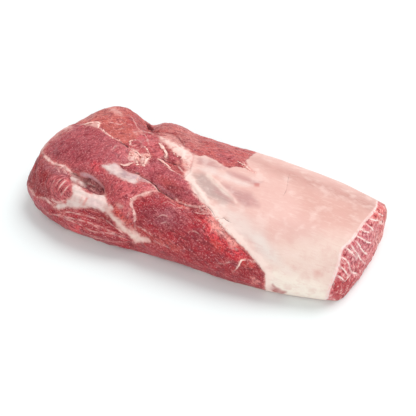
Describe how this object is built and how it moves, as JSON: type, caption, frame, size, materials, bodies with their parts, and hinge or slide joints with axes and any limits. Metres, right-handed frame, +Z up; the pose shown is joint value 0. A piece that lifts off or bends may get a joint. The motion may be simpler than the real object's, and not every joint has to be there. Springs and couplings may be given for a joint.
{
  "type": "beef oyster blade",
  "caption": "Whole raw oyster blade of beef: a long, low slab of muscle, rounded at one end and sawn square at the other, flat underneath, with silverskin over part of its top.",
  "frame": {"origin": "middle of the footprint, on the surface that the meat rests on", "axes": "+X along the cut from the rounded end to the sawn end, +Y across it to the back, +Z up"},
  "size_m": [0.3762, 0.1698, 0.0681],
  "materials": {
    "raw_beef": null
  },
  "bodies": {
    "root": {"oyster_blade": "raw_beef"}
  },
  "joints": []
}
